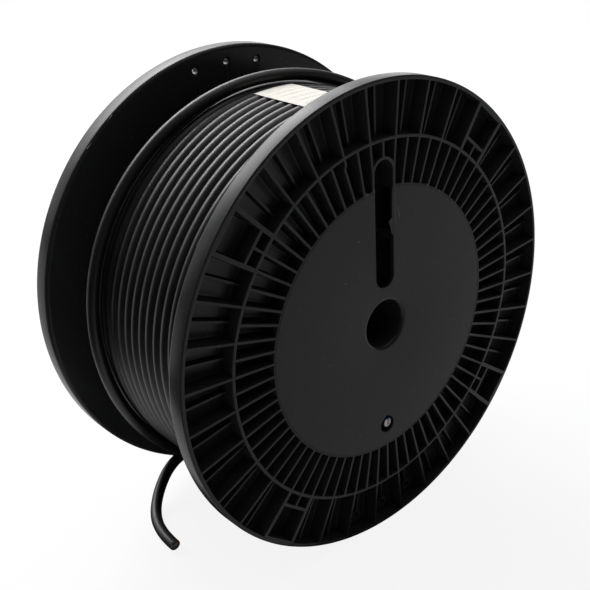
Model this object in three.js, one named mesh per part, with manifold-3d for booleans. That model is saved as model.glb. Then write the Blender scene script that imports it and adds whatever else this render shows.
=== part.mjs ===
// Plastic cable drum wound with black flexible cable, standing on the rims of its two flanges.
// Millimetres, +Z up. The drum's axle runs along Y; the flange with the slot upright faces -Y.
// The origin is on the ground, midway between the two outer faces.
import * as THREE from "three";
import { mergeVertices } from "three/addons/utils/BufferGeometryUtils.js";
import Module from "manifold-3d";

// ---- driving dimensions ------------------------------------------------------------------
const FLANGE_DIAMETER = 400;
const DRUM_WIDTH = 206;            // over both outer faces
const FLANGE_THICKNESS = 16.5;
const WEB_THICKNESS = 2;           // skin on the winding side, behind the ribs
const RIM_WALL = 5;
const RIM_CHAMFER = 0.8;           // outer edge of the rim
const RIM_ROUND = 3.5;             // edge of the rim beside the winding

const RING_RADIUS = 154.8;         // the wall between the two fields of ribs
const RING_WALL = 3.3;
const DISC_RADIUS = 118;           // plain disc round the bore, out to its edge
const DISC_PLATE = 3.5;
const DISC_WALL = 3;               // carries the disc from its edge back to the web

const INNER_RIBS = 72;
const OUTER_RIBS = 36;
const RIB_WALL = 2.2;
const LOW_RIB_DEPTH = 8.5;         // the low ribs stand this far below the front face
const ROOT = 1;                    // how far a rib reaches into the wall that it grows from

const BOXES = 4;                   // stiff box frames in the outer field
const FIRST_BOX_ANGLE = 40;
const BOX_WALL = 3.6;
const BOX_BAR_RADIUS = 169;
const BOX_BAR_WALL = 3;
const BOX_END_WALL = 3.5;
const BOX_END_DEPTH = 2;

const BORE_DIAMETER = 40;
const BORE_MOUTH_ROUND = 4;
const HUB_WALL = 5;
const HUB_LENGTH = 32;

const SLOT_WIDTH = 19.5;
const SLOT_INNER_END = 33.5;       // radius that each end of the slot reaches
const SLOT_OUTER_END = 138.5;
const SLOT_WALL = 3.4;

const LEAD_HOLE_DIAMETER = 15;     // the cable's inner end comes out here
const LEAD_HOLE_INSET = 10.5;      // from the outside of the barrel to the edge of the hole
const LEAD_NOTCH_WIDTH = 6;
const LEAD_NOTCH_REACH = 9;
const LEAD_END_DEPTH = 1;          // the cut end stands this far below the front face
const LEAD_END_OFFSET = 2;         // to one side of the hole
const TIE_BOSS_RADIUS = 184.5;
const TIE_BOSS_DIAMETER = 10;
const TIE_HOLE_DIAMETER = 5;
const TIE_BOSS_ANGLES = [170, 180, 190];

const BARREL_DIAMETER = 158;
const BARREL_WALL = 4;
const SPIGOT_WALL = 3;
const SPIGOT_LENGTH = 12;          // from the back of the disc

const CABLE_DIAMETER = 10.2;
const TURN_PITCH = 10.3;
const WINDING_DIAMETER = 352;      // over the outermost full layer
const TOP_LAYER_TURNS = 13;
const STEPPED_LAYERS = 4;          // layers at the far end, each reaching a little further out
const LAYER_STEP = 5;
const LAST_TURN_OFFSET = 24.8;     // how far the last turn wanders along the axle, each way
const LAST_TURN_OFFSET_ANGLE = 294;
const LAST_TURN_MIDDLE = 124.7;    // from the outer face of the slotted flange
const LAST_TURN_START_ANGLE = 222;       // degrees, clockwise from the top of the slotted flange
const LAST_TURN_END_ANGLE = 546;
const LAST_TURN_SWING = 31;        // how far its end swings over towards the far flange
const LAST_TURN_SWING_ANGLE = 55;  // degrees of the turn that this takes
const LAST_TURN_STEPS = 60;
const TAIL_STEPS = 26;
const CABLE_SIDES = 8;

const LABEL_LENGTH = 80;
const LABEL_HEIGHT = 40;
const LABEL_THICKNESS = 0.4;
const LABEL_EDGE = 121;            // far edge, from the outer face of the slotted flange
const LABEL_ANGLE = -2;

const GAP = 0.3;                   // clearance between separate pieces
const FLANGE_FACETS = 36;
const COIL_FACETS = 36;
const CORNER_STEPS = 2;            // facets in a small rounded corner

// ---- derived sizes -----------------------------------------------------------------------
const flangeRadius = FLANGE_DIAMETER / 2;
const webFront = FLANGE_THICKNESS - WEB_THICKNESS;
const rimInner = flangeRadius - RIM_WALL;
const ringInner = RING_RADIUS - RING_WALL / 2;
const ringOuter = RING_RADIUS + RING_WALL / 2;
const boreRadius = BORE_DIAMETER / 2;
const barrelRadius = BARREL_DIAMETER / 2;
const barrelBore = barrelRadius - BARREL_WALL;
const barrelStart = DISC_PLATE + GAP;
const barrelEnd = DRUM_WIDTH - DISC_PLATE - GAP;
const leadHoleRadius = barrelRadius + LEAD_HOLE_INSET + LEAD_HOLE_DIAMETER / 2;
const spigotRadius = barrelBore - GAP;
const cableRadius = CABLE_DIAMETER / 2;
const windingRadius = WINDING_DIAMETER / 2;
const coilCorner = windingRadius / Math.cos(Math.PI / COIL_FACETS);   // out to the corners of its facets
const layerRise = TURN_PITCH * Math.sin(Math.PI / 3);
const windStart = FLANGE_THICKNESS + GAP;
const windEnd = DRUM_WIDTH - FLANGE_THICKNESS - GAP;

const rad = THREE.MathUtils.degToRad;

// ---- solids: joining and cutting ------------------------------------------------------------
const wasm = await Module();
wasm.setup();

function solid(geometry) {
  const bare = geometry.clone();
  for (const name of ["normal", "uv"]) bare.deleteAttribute(name);
  const merged = mergeVertices(bare, 1e-4);
  return new wasm.Manifold(new wasm.Mesh({
    numProp: 3,
    vertProperties: new Float32Array(merged.attributes.position.array),
    triVerts: new Uint32Array(merged.index.array),
  }));
}

function joined(first, others) {
  return others.reduce((sum, next) => sum.add(next), first);
}

function geometryOf(body) {
  const mesh = body.getMesh();
  const geometry = new THREE.BufferGeometry();
  geometry.setAttribute("position", new THREE.BufferAttribute(new Float32Array(mesh.vertProperties), 3));
  geometry.setIndex(new THREE.BufferAttribute(new Uint32Array(mesh.triVerts), 1));
  geometry.computeVertexNormals();
  return geometry;
}

// A closed profile of [radius, distance along the axle] turned about the axle. The radii are those of
// the middles of the facets, and one facet lies level at the bottom.
function turned(profile, facets) {
  const corner = 1 / Math.cos(Math.PI / facets);
  const points = profile.map(([r, y]) => new THREE.Vector2(r * corner, y));
  if (THREE.ShapeUtils.isClockWise(points)) points.reverse();
  points.push(points[0].clone());
  return new THREE.LatheGeometry(points, facets, Math.PI / facets);
}

// A flat outline in the plane of the flange (x right, y up), made solid between two depths.
function plate(shape, front, back, curveSteps = 12) {
  const geometry = new THREE.ExtrudeGeometry(shape, {
    depth: back - front, bevelEnabled: false, curveSegments: curveSteps,
  });
  return geometry.translate(0, 0, -back).rotateX(Math.PI / 2);
}

// Turn a piece that was made upright, at twelve o'clock, to its angle on the flange.
function atAngle(geometry, degrees) {
  return geometry.rotateY(rad(degrees));
}

// A rib upright at twelve o'clock, between two radii, rooted in the web.
function rib(wall, inner, outer, top) {
  const root = webFront + WEB_THICKNESS / 2;
  return new THREE.BoxGeometry(wall, root - top, outer - inner)
    .translate(0, (top + root) / 2, (inner + outer) / 2);
}

function roundCorner(centreR, centreY, radius, from, to) {
  const points = [];
  for (let i = 0; i <= CORNER_STEPS; i += 1) {
    const a = rad(from + ((to - from) * i) / CORNER_STEPS);
    points.push([centreR + radius * Math.cos(a), centreY + radius * Math.sin(a)]);
  }
  return points;
}

// ---- flange moulding -----------------------------------------------------------------------
function flangeShell() {
  const hub = boreRadius + HUB_WALL;
  const mouth = roundCorner(boreRadius + BORE_MOUTH_ROUND, BORE_MOUTH_ROUND, BORE_MOUTH_ROUND, 180, 270);
  const rimEdge = roundCorner(flangeRadius - RIM_ROUND, FLANGE_THICKNESS - RIM_ROUND, RIM_ROUND, 0, 90);
  return turned([
    ...mouth,
    [DISC_RADIUS, 0], [DISC_RADIUS, webFront],
    [ringInner, webFront], [ringInner, 0],
    [ringOuter, 0], [ringOuter, webFront],
    [rimInner, webFront], [rimInner, 0],
    [flangeRadius - RIM_CHAMFER, 0], [flangeRadius, RIM_CHAMFER],
    ...rimEdge,
    [DISC_RADIUS - DISC_WALL, FLANGE_THICKNESS], [DISC_RADIUS - DISC_WALL, DISC_PLATE],
    [spigotRadius, DISC_PLATE], [spigotRadius, DISC_PLATE + SPIGOT_LENGTH],
    [spigotRadius - SPIGOT_WALL, DISC_PLATE + SPIGOT_LENGTH], [spigotRadius - SPIGOT_WALL, DISC_PLATE],
    [hub, DISC_PLATE], [hub, HUB_LENGTH], [boreRadius, HUB_LENGTH],
  ], FLANGE_FACETS);
}

function innerRibs() {
  const ribs = [];
  for (let i = 0; i < INNER_RIBS; i += 1) {
    const one = rib(RIB_WALL, DISC_RADIUS - ROOT, ringInner + ROOT, 0);
    ribs.push(solid(atAngle(one, (360 * i) / INNER_RIBS)));
  }
  return ribs;
}

// How far an angle lies from the middle of the nearest box frame, in steps of the outer ribs.
function stepsFromBox(angle) {
  const apart = (((angle - FIRST_BOX_ANGLE) * BOXES) / 360) % 1;
  const share = Math.min(Math.abs(apart), 1 - Math.abs(apart));
  return (share * OUTER_RIBS) / BOXES;
}

// The tall ribs of the outer field: the pair beside each box frame is thicker.
function outerRibs() {
  const ribs = [];
  for (let i = 0; i < OUTER_RIBS; i += 1) {
    const angle = ((i + 0.5) * 360) / OUTER_RIBS;
    const wall = stepsFromBox(angle) < 0.75 ? BOX_WALL : RIB_WALL;
    ribs.push(solid(atAngle(rib(wall, ringOuter - ROOT, rimInner + ROOT, 0), angle)));
  }
  return ribs;
}

// The low ribs between the tall ones run out to the rim, or to a tie boss.
function lowRibs() {
  const ribs = [];
  for (let i = 0; i < OUTER_RIBS; i += 1) {
    const angle = (i * 360) / OUTER_RIBS;
    if (stepsFromBox(angle) < 0.25) continue;
    const end = TIE_BOSS_ANGLES.includes(angle) ? TIE_BOSS_RADIUS : rimInner + ROOT;
    ribs.push(solid(atAngle(rib(RIB_WALL, ringOuter - ROOT, end, LOW_RIB_DEPTH), angle)));
  }
  return ribs;
}

// One stiff frame between two of the tall ribs: a cross bar, a short middle rib and a lower end wall.
function boxFrame(angle) {
  const spread = 2 * Math.tan(rad(180 / OUTER_RIBS));
  const root = webFront + WEB_THICKNESS / 2;
  const bar = new THREE.BoxGeometry(spread * BOX_BAR_RADIUS, root, BOX_BAR_WALL)
    .translate(0, root / 2, BOX_BAR_RADIUS);
  const endInner = rimInner - BOX_END_WALL;
  const end = new THREE.BoxGeometry(spread * endInner, root - BOX_END_DEPTH, BOX_END_WALL + ROOT)
    .translate(0, (root + BOX_END_DEPTH) / 2, endInner + (BOX_END_WALL + ROOT) / 2);
  const middle = rib(RIB_WALL, ringOuter - ROOT, BOX_BAR_RADIUS, 0);
  return [bar, end, middle].map((piece) => solid(atAngle(piece, angle)));
}

function slotOutline(halfWidth, innerEnd, outerEnd) {
  const shape = new THREE.Shape();
  shape.absarc(0, innerEnd + halfWidth, halfWidth, Math.PI, 2 * Math.PI, false);
  shape.absarc(0, outerEnd - halfWidth, halfWidth, 0, Math.PI, false);
  shape.closePath();
  return shape;
}

// The wall that carries the slot on through the field of inner ribs, from the wall of the disc.
function slotWall() {
  const shape = slotOutline(SLOT_WIDTH / 2 + SLOT_WALL, SLOT_INNER_END - SLOT_WALL, SLOT_OUTER_END + SLOT_WALL);
  const whole = solid(plate(shape, 0, webFront + WEB_THICKNESS / 2));
  return whole.trimByPlane([0, 0, 1], DISC_RADIUS - DISC_WALL / 2 - ROOT);
}

function slotCut() {
  return solid(plate(slotOutline(SLOT_WIDTH / 2, SLOT_INNER_END, SLOT_OUTER_END), -1, FLANGE_THICKNESS + 1));
}

function leadHoleCut() {
  const round = new THREE.Shape();
  round.absarc(0, leadHoleRadius, LEAD_HOLE_DIAMETER / 2, 0, 2 * Math.PI, false);
  const half = LEAD_NOTCH_WIDTH / 2;
  const notch = new THREE.Shape([
    new THREE.Vector2(-half, leadHoleRadius - LEAD_NOTCH_REACH),
    new THREE.Vector2(half, leadHoleRadius - LEAD_NOTCH_REACH),
    new THREE.Vector2(half, leadHoleRadius),
    new THREE.Vector2(-half, leadHoleRadius),
  ]);
  const cuts = [round, notch].map((shape) => solid(atAngle(plate(shape, -1, FLANGE_THICKNESS + 1, 10), 180)));
  return joined(cuts[0], cuts.slice(1));
}

function tieBoss(angle) {
  const root = webFront + WEB_THICKNESS / 2;
  const boss = new THREE.CylinderGeometry(TIE_BOSS_DIAMETER / 2, TIE_BOSS_DIAMETER / 2, root - LOW_RIB_DEPTH, 12);
  boss.rotateX(Math.PI).translate(0, (root + LOW_RIB_DEPTH) / 2, TIE_BOSS_RADIUS);
  return solid(atAngle(boss, angle));
}

function tieHoleCut(angle) {
  const hole = new THREE.CylinderGeometry(TIE_HOLE_DIAMETER / 2, TIE_HOLE_DIAMETER / 2, 2 * FLANGE_THICKNESS, 10);
  return solid(atAngle(hole.translate(0, FLANGE_THICKNESS, TIE_BOSS_RADIUS), angle));
}

function flangeGeometry() {
  const frames = [];
  for (let i = 0; i < BOXES; i += 1) frames.push(...boxFrame(FIRST_BOX_ANGLE + (360 * i) / BOXES));
  const bosses = TIE_BOSS_ANGLES.map(tieBoss);
  const body = joined(solid(flangeShell()), [
    ...innerRibs(), ...outerRibs(), ...lowRibs(), ...frames, ...bosses, slotWall(),
  ]);
  const holes = joined(slotCut(), [leadHoleCut(), ...TIE_BOSS_ANGLES.map(tieHoleCut)]);
  return geometryOf(body.subtract(holes));
}

// ---- barrel and cable ------------------------------------------------------------------------
function barrelGeometry() {
  return turned([
    [barrelBore, barrelStart], [barrelRadius, barrelStart], [barrelRadius, barrelEnd], [barrelBore, barrelEnd],
  ], COIL_FACETS);
}

// One turn of cable seen in section: the crest between its two shoulders.
function turnSection(centreY, crest) {
  const shoulder = cableRadius * 0.55;
  return [[crest, centreY - shoulder], [crest, centreY + shoulder]];
}

function valley(y, crest) {
  return [crest - cableRadius * 0.75, y];
}

// The wound cable: a full top layer, then layers that step down towards the far flange.
function windingGeometry() {
  const profile = [[barrelRadius + GAP, windStart], [windingRadius - cableRadius, windStart]];
  for (let i = 0; i < TOP_LAYER_TURNS; i += 1) {
    const centre = windStart + (i + 0.5) * TURN_PITCH;
    profile.push(...turnSection(centre, windingRadius));
    if (i < TOP_LAYER_TURNS - 1) profile.push(valley(centre + TURN_PITCH / 2, windingRadius));
  }
  let edge = windStart + TOP_LAYER_TURNS * TURN_PITCH;
  let crest = windingRadius;
  profile.push([crest - cableRadius, edge]);
  for (let layer = 1; layer <= STEPPED_LAYERS; layer += 1) {
    crest -= layerRise;
    edge += LAYER_STEP;
    profile.push([crest, edge - cableRadius], [crest - 0.3 * cableRadius, edge - 0.3 * cableRadius]);
    profile.push([crest - cableRadius, edge]);
  }
  crest -= layerRise;
  profile.push([crest - cableRadius * 0.5, edge + 0.5], [crest, edge + cableRadius * 0.6], [crest, windEnd]);
  profile.push([barrelRadius + GAP, windEnd]);
  return turned(profile, COIL_FACETS);
}

// The inner end of the cable stands in the lead hole of the slotted flange.
function leadEnd() {
  const length = windStart + ROOT - LEAD_END_DEPTH;
  const stub = new THREE.CylinderGeometry(cableRadius * 0.9, cableRadius * 0.9, length, 12);
  return stub.translate(LEAD_END_OFFSET, LEAD_END_DEPTH + length / 2, -leadHoleRadius);
}

function cableGeometry() {
  return geometryOf(solid(windingGeometry()).add(solid(leadEnd())));
}

// The last turn comes up out of the top layer and lies on it. It wanders along the axle as it goes
// round, then swings over to the far flange, where the free end takes over.
class LastTurn extends THREE.Curve {
  getPoint(t, target = new THREE.Vector3()) {
    const angle = LAST_TURN_START_ANGLE + (LAST_TURN_END_ANGLE - LAST_TURN_START_ANGLE) * t;
    const wander = LAST_TURN_MIDDLE + LAST_TURN_OFFSET * Math.cos(rad(angle - LAST_TURN_OFFSET_ANGLE));
    const swung = Math.max(0, 1 - (LAST_TURN_END_ANGLE - angle) / LAST_TURN_SWING_ANGLE) ** 2;
    const radius = coilCorner + 2 * GAP + cableRadius;
    return target.set(radius * Math.sin(rad(angle)), wander + LAST_TURN_SWING * swung,
      radius * Math.cos(rad(angle)));
  }
}

function cableAlong(path, steps) {
  const section = new THREE.Shape();
  section.absarc(0, 0, cableRadius, 0, 2 * Math.PI, false);
  return new THREE.ExtrudeGeometry(section, {
    steps, bevelEnabled: false, curveSegments: CABLE_SIDES / 2, extrudePath: path,
  });
}

function labelGeometry() {
  const inner = coilCorner + GAP;
  const half = LABEL_HEIGHT / 2 / inner;
  const middle = rad(90 - LABEL_ANGLE);
  const shape = new THREE.Shape();
  shape.absarc(0, 0, inner + LABEL_THICKNESS, middle - half, middle + half, false);
  shape.absarc(0, 0, inner, middle + half, middle - half, true);
  shape.closePath();
  return plate(shape, LABEL_EDGE - LABEL_LENGTH, LABEL_EDGE, 6);
}

// The free end goes on from the last turn, round beside the far flange and down to the ground.
const tailRoute = [
  [-31, 154.8, 21.2], [-42.6, 162.1, 24.3], [-54.1, 169.2, 27.6], [-66, 175.7, 30.4], [-78.5, 180.9, 31.9],
  [-91.2, 183.6, 31.4], [-103.7, 183.9, 28.1], [-115.3, 181.9, 22.6], [-126.1, 176.9, 16.4],
  [-136, 169.8, 10.8], [-144.7, 160.7, 6.8], [-151.8, 149.7, 5.3], [-157.1, 137.5, 5.3],
  [-160.4, 124.5, 5.3], [-162, 111.1, 5.3], [-162.3, 104.3, 5.3],
];

function tailPath() {
  const turn = new LastTurn();
  const onward = (distance) => turn.getPoint(1).addScaledVector(turn.getTangent(1), distance);
  const route = tailRoute.map(([x, y, z]) => new THREE.Vector3(x, y, z - flangeRadius));
  return new THREE.CatmullRomCurve3([onward(GAP), onward(CABLE_DIAMETER / 2), ...route]);
}

// ---- assembly ------------------------------------------------------------------------------------
const plastic = { color: 0x1f2123, roughness: 0.45, metalness: 0 };
const jacket = { color: 0x17181a, roughness: 0.5, metalness: 0 };

function mesh(name, geometry, finish) {
  const made = new THREE.Mesh(geometry, new THREE.MeshStandardMaterial(finish));
  made.name = name;
  return made;
}

const drum = new THREE.Group();
drum.position.set(0, -DRUM_WIDTH / 2, flangeRadius);
const flange = flangeGeometry();
const front = mesh("flange_front", flange, plastic);
const back = mesh("flange_back", flange.clone(), plastic);
back.position.y = DRUM_WIDTH;
back.rotation.x = Math.PI;
drum.add(
  front,
  back,
  mesh("barrel", barrelGeometry(), plastic),
  mesh("cable_winding", cableGeometry(), jacket),
  mesh("cable_last_turn", cableAlong(new LastTurn(), LAST_TURN_STEPS), jacket),
  mesh("cable_tail", cableAlong(tailPath(), TAIL_STEPS), jacket),
  mesh("coil_label", labelGeometry(), { color: 0xe9e4d8, roughness: 0.8, metalness: 0 }),
);

export default drum;
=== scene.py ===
"""A moulded plastic cable drum, wound with black flexible cable, standing on its rims."""

from __future__ import annotations

import logging
import random
from collections.abc import Iterable, Sequence
from dataclasses import dataclass, field
from enum import Enum
from math import atan2, cos, degrees, hypot, pi, radians, sin, tan, tau
from typing import Any

import bmesh
import bpy
from mathutils import Matrix, Vector


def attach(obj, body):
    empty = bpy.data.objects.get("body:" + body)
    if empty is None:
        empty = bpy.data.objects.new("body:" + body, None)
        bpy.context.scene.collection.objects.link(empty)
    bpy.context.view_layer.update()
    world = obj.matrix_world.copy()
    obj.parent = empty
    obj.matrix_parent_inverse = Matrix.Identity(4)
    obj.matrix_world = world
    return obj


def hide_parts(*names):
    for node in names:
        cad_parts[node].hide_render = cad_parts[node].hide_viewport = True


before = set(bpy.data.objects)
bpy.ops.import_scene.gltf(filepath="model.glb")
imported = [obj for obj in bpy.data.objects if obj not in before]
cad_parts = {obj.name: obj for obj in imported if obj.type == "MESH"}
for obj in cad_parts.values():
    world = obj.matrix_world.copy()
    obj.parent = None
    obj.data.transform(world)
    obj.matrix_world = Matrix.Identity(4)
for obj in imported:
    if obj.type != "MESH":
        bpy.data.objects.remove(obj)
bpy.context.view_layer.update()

log = logging.getLogger("cable_drum")

MM = 0.001
DRUM_WIDTH = 206.0
AXLE_HEIGHT = 200.0
Pair = tuple[float, float]
Point = tuple[float, float, float]
Colour = tuple[float, float, float, float]
Shape = bmesh.types.BMesh
Material = bpy.types.Material
CENTRE = (0, 0, 0)
QUARTER_ABOUT_X = Matrix.Rotation(radians(90), 3, "X")
QUARTER_ABOUT_Y = Matrix.Rotation(radians(90), 3, "Y")


# ---- shader nodes ----


class Signal:
    """A number, colour or vector that flows through a material's nodes."""

    def __init__(self, graph: Graph, socket: bpy.types.NodeSocket) -> None:
        """Wraps one output socket of a node tree."""
        self.graph = graph
        self.socket = socket

    def _math(self, operation: str, *values: Signal | float) -> Signal:
        """Gives the result of one Math node, with its inputs in order."""
        return self.graph.node("ShaderNodeMath", dict(enumerate(values)), operation=operation)

    def __add__(self, other: Signal | float) -> Signal:
        """Gives self + other."""
        return self._math("ADD", self, other)

    __radd__ = __add__

    def __sub__(self, other: Signal | float) -> Signal:
        """Gives self - other."""
        return self._math("SUBTRACT", self, other)

    def __rsub__(self, other: float) -> Signal:
        """Gives other - self."""
        return self._math("SUBTRACT", other, self)

    def __mul__(self, other: Signal | float) -> Signal:
        """Gives self * other."""
        return self._math("MULTIPLY", self, other)

    __rmul__ = __mul__

    def __pow__(self, other: Signal | float) -> Signal:
        """Gives self to the power of other."""
        return self._math("POWER", self, other)

    def __abs__(self) -> Signal:
        """Gives the size of self without its sign."""
        return self._math("ABSOLUTE", self)

    def largest(self, other: Signal | float) -> Signal:
        """Gives the larger of self and other."""
        return self._math("MAXIMUM", self, other)

    def step(self, low: float, high: float) -> Signal:
        """Rises smoothly from 0 at low to 1 at high, or falls where high is below low.

        Args:
            low: the value that gives 0.
            high: the value that gives 1.

        Returns:
            A number from 0 to 1.
        """
        rising = low < high
        ends = {"From Min": min(low, high), "From Max": max(low, high)}
        ends |= {"To Min": 0.0 if rising else 1.0, "To Max": 1.0 if rising else 0.0, "Value": self}
        return self.graph.node("ShaderNodeMapRange", ends, interpolation_type="SMOOTHSTEP")


class Graph:
    """The node tree of one material or of the world."""

    def __init__(self, tree: bpy.types.NodeTree) -> None:
        """Empties a node tree and takes it over."""
        self.tree = tree
        tree.nodes.clear()

    def node(
        self, kind: str, inputs: dict[Any, Any] | None = None, output: str | int = 0, **settings: Any
    ) -> Signal:
        """Adds a node of any type.

        Args:
            kind: the node's type.
            inputs: the value of each named or numbered input, or the signal that feeds it.
            output: which output to return.
            settings: the node's own settings, set first.

        Returns:
            The chosen output.
        """
        made = self.tree.nodes.new(kind)
        for name, value in settings.items():
            setattr(made, name, value)
        for name, value in (inputs or {}).items():
            if isinstance(value, Signal):
                self.tree.links.new(value.socket, made.inputs[name])
            else:
                made.inputs[name].default_value = value
        return Signal(self, made.outputs[output] if made.outputs else None)

    def place(self) -> Signal:
        """Gives the position on the piece, in metres."""
        return self.node("ShaderNodeTexCoord", output="Object")

    def axes(self, vector: Signal) -> tuple[Signal, Signal, Signal]:
        """Splits a vector into its x, y and z."""
        parts = self.node("ShaderNodeSeparateXYZ", {"Vector": vector}).socket.node
        return tuple(Signal(self, parts.outputs[i]) for i in range(3))

    def noise(self, at: Signal, scale: float, detail: float = 3.0, rough: float = 0.5) -> Signal:
        """Gives cloudy noise around 0.5; detail adds finer layers and rough is their strength."""
        values = {"Vector": at, "Scale": scale, "Detail": detail, "Roughness": rough}
        return self.node("ShaderNodeTexNoise", values, "Fac")

    def stretched(self, at: Signal, scale: Point) -> Signal:
        """Scales a position by a different amount along each axis."""
        return self.node("ShaderNodeMapping", {"Vector": at, "Scale": scale})

    def blend(self, share: Signal | float, first: Any, second: Any) -> Signal:
        """Mixes two colours, or signals of colours; share is how much of the second shows."""
        return self.node("ShaderNodeMix", {0: share, 6: first, 7: second}, 2, data_type="RGBA")

    def bump(self, height: Signal, strength: float, distance: float) -> Signal:
        """Gives the normal of a height, where 1 is the distance in metres; strength scales it."""
        values = {"Height": height, "Strength": strength, "Distance": distance}
        return self.node("ShaderNodeBump", values)

    def surface(self, **values: Any) -> None:
        """Ends the tree in one principled shader.

        Args:
            values: its sockets, with _ for a space.
        """
        inputs = {name.replace("_", " "): value for name, value in values.items()}
        shader = self.node("ShaderNodeBsdfPrincipled", inputs)
        self.node("ShaderNodeOutputMaterial", {"Surface": shader})


def grey(level: float) -> Colour:
    """Gives the grey that is as light as level, from 0 to 1."""
    return (level, level, level, 1.0)


def new_material(name: str) -> tuple[Material, Graph]:
    """Makes an empty node material.

    Args:
        name: the material's name.

    Returns:
        The material and its node tree.
    """
    made = bpy.data.materials.new(name)
    made.use_nodes = True
    return made, Graph(made.node_tree)


@dataclass(frozen=True)
class MouldedPlastic:
    """Satin black plastic, straight from the mould, a little dusty and worn from handling, with painted
    glints on the disc's edge.
    """

    name: str
    colour: Colour = (0.0170, 0.0175, 0.0180, 1.0)
    # A pale grey for dusty smears, scuffs and the painted glints on the disc's edge.
    dust_and_glint: Colour = (0.13, 0.13, 0.128, 1.0)
    roughness: float = 0.25
    shine: float = 0.12
    # True for the near flange's face: its scratch, pale strip, dusty spots and painted glints.
    worn: bool = False
    flow_line: Point = (0.0003, 0.368, 0.374)
    scratch: Pair = (0.0745, 0.2935)
    # A faint pale strip on the face just right of the slot's right edge.
    pale_slot_strip: Pair = (0.0118, 0.2990)
    # Two dusty spots, then four painted glints: highlights on the disc's outer edge beside the slot and
    # near the ribs.
    specks_and_glints: tuple[Point, ...] = (
        (-0.028, 0.281, 0.0011), (-0.043, 0.251, 0.0008), (-0.0180, 0.3163, 0.0016),
        (-0.0100, 0.3172, 0.0017), (0.0492, 0.3070, 0.0014), (0.0640, 0.2986, 0.0013),
    )

    def material(self) -> Material:
        """Builds the material."""
        made, graph = new_material(self.name)
        at = graph.place()
        cloud = graph.noise(at, 14.0, 4.0)
        grain = graph.noise(at, 2600.0, 2.0)
        smear = graph.noise(graph.stretched(at, (60.0, 60.0, 9.0)), 1.0, 3.0, 0.6)
        speck = graph.noise(at, 420.0, 0.0).step(0.78, 0.83)
        # Dusty smears and random dots, plus the marks below, four of whose spots are painted glints on
        # the disc's edge.
        wear_and_glints = smear.step(0.55, 0.85) * 0.03 + speck * 0.10
        wear_and_glints = wear_and_glints.largest(self.marks(graph, at))
        colour = graph.blend(wear_and_glints, self.colour, self.dust_and_glint)
        rough = self.roughness + (cloud - 0.5) * 0.08 + wear_and_glints * 0.5
        normal = graph.bump(grain * 0.7 + cloud * 0.3, 0.10, 0.0001)
        graph.surface(Base_Color=colour, Roughness=rough, Normal=normal, Specular_IOR_Level=self.shine)
        return made

    def marks(self, graph: Graph, at: Signal) -> Signal:
        """Masks the flow line through the middle tie hole, or the worn face's scratch, pale strip beside
        the slot, two dusty spots and four painted glints on the disc's edge.

        Args:
            graph: the material's node tree.
            at: the position on the piece.

        Returns:
            A number from 0 to 1.
        """
        x, _, z = graph.axes(at)
        if not self.worn:
            edge, low, high = self.flow_line
            return abs(x).step(0.0010, edge) * z.step(low, high) * 0.06
        (lx, lz), (fx, fz) = self.scratch, self.pale_slot_strip
        line = abs(x + z * 0.2 - lx).step(0.0008, 0.0002) * abs(z - lz).step(0.0055, 0.0035)
        # The faint pale strip just right of the slot.
        faint = abs(x - fx).step(0.0006, 0.0001) * abs(z - fz).step(0.0160, 0.0100)
        found = (line * 0.5).largest(faint * 0.25)
        # The last four spots are painted glints, highlights on the disc's outer edge.
        for px, pz, size in self.specks_and_glints:
            away = ((x - px) ** 2.0 + (z - pz) ** 2.0) ** 0.5
            found = found.largest(away.step(size, size * 0.4) * 0.9)
        return found


@dataclass(frozen=True)
class CableJacket:
    """Smooth black cable jacket with a soft sheen and faint rubbed patches."""

    name: str
    colour: Colour = (0.0065, 0.0067, 0.0068, 1.0)
    rubbed: Colour = (0.024, 0.024, 0.024, 1.0)
    roughness: float = 0.42
    shine: float = 0.44

    def material(self) -> Material:
        """Builds the material."""
        made, graph = new_material(self.name)
        at = graph.place()
        cloud = graph.noise(at, 22.0, 3.0)
        fine = graph.noise(at, 1500.0, 2.0)
        rub = graph.noise(at, 70.0, 4.0, 0.65).step(0.56, 0.78)
        colour = graph.blend(rub * 0.25, self.colour, self.rubbed)
        rough = self.roughness + (cloud - 0.5) * 0.10 + rub * 0.08
        normal = graph.bump(fine * 0.04 + cloud * 0.96, 0.12, 0.0002)
        graph.surface(Base_Color=colour, Roughness=rough, Normal=normal, Specular_IOR_Level=self.shine)
        return made


@dataclass(frozen=True)
class LabelPaper:
    """Cream paper, a little soiled, with fine fibres."""

    name: str
    colour: Colour = (0.79, 0.76, 0.70, 1.0)
    soiled: Colour = (0.64, 0.59, 0.51, 1.0)

    def material(self) -> Material:
        """Builds the material."""
        made, graph = new_material(self.name)
        at = graph.place()
        stain = graph.noise(at, 240.0, 5.0, 0.65).step(0.46, 0.72)
        fibre = graph.noise(graph.stretched(at, (900.0, 2600.0, 900.0)), 1.0, 3.0)
        colour = graph.blend(stain * 0.5, self.colour, self.soiled)
        graph.surface(Base_Color=colour, Roughness=0.75, Normal=graph.bump(fibre, 0.25, 0.0001))
        return made


@dataclass(frozen=True)
class CoreColour:
    """Coloured plastic of the cable's inside, seen at its cut ends."""

    name: str
    colour: Colour
    roughness: float = 0.5
    shade: float = 0.72

    def material(self) -> Material:
        """Builds the material."""
        made, graph = new_material(self.name)
        cloud = graph.noise(graph.place(), 700.0, 3.0)
        dark = (*(c * self.shade for c in self.colour[:3]), 1.0)
        colour = graph.blend(cloud.step(0.4, 0.8) * 0.6, self.colour, dark)
        normal = graph.bump(cloud, 0.3, 0.0001)
        graph.surface(Base_Color=colour, Roughness=self.roughness + cloud * 0.1, Normal=normal)
        return made


# ---- meshes ----


class Joint(Enum):
    """How one solid meets another."""

    ADD = "UNION"
    CUT = "DIFFERENCE"


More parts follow.
